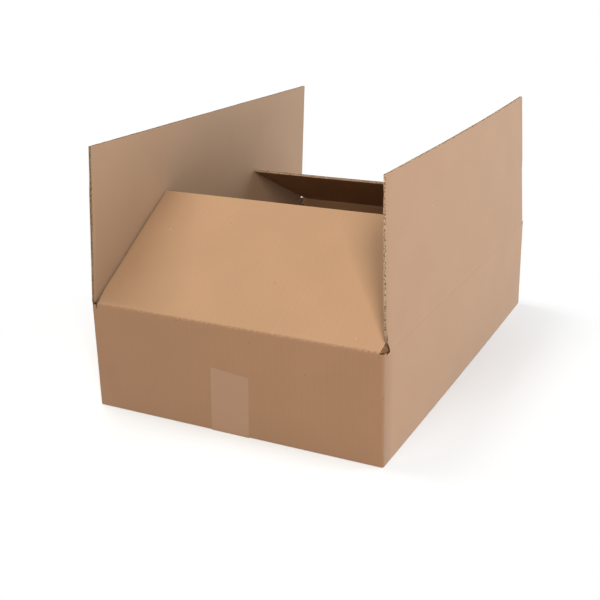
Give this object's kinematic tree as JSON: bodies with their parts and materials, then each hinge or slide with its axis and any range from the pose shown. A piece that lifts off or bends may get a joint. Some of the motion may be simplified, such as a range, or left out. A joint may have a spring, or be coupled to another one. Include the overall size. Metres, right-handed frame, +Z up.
{
  "type": "open cardboard shipping carton",
  "caption": "Open slotted carton of corrugated board with a taped bottom seam and four hinged top flaps, the end flaps half folded in.",
  "frame": {"origin": "on the ground, under the middle of the carton", "axes": "+Z up, +Y along the carton's length from the near end wall to the far one, +X across its width to the right side wall"},
  "size_m": [0.38, 0.5702, 0.325],
  "materials": {
    "wall_board": "brown kraft paper over corrugated board, matt",
    "flap_board": "brown kraft paper over corrugated board, matt",
    "tape": "thin tan packing tape, low sheen"
  },
  "bodies": {
    "box": {"carton": "wall_board", "seam_tape": "tape"},
    "near_flap": {"near_end_flap": "flap_board"},
    "far_flap": {"far_end_flap": "flap_board"},
    "left_flap": {"left_side_flap": "flap_board"},
    "right_flap": {"right_side_flap": "flap_board"}
  },
  "joints": [
    {"name": "near_flap_crease", "type": "hinge", "parent": "box", "child": "near_flap", "pos_m": [0, -0.283, 0.135], "axis": [1, 0, 0], "range_deg": [-33.5, 171.5]},
    {"name": "far_flap_crease", "type": "hinge", "parent": "box", "child": "far_flap", "pos_m": [0, 0.283, 0.135], "axis": [-1, 0, 0], "range_deg": [-25.5, 179.5]},
    {"name": "left_flap_crease", "type": "hinge", "parent": "box", "child": "left_flap", "pos_m": [-0.188, 0, 0.135], "axis": [0, -1, 0], "range_deg": [0, 115.5]},
    {"name": "right_flap_crease", "type": "hinge", "parent": "box", "child": "right_flap", "pos_m": [0.188, 0, 0.135], "axis": [0, 1, 0], "range_deg": [0, 115.5]}
  ]
}
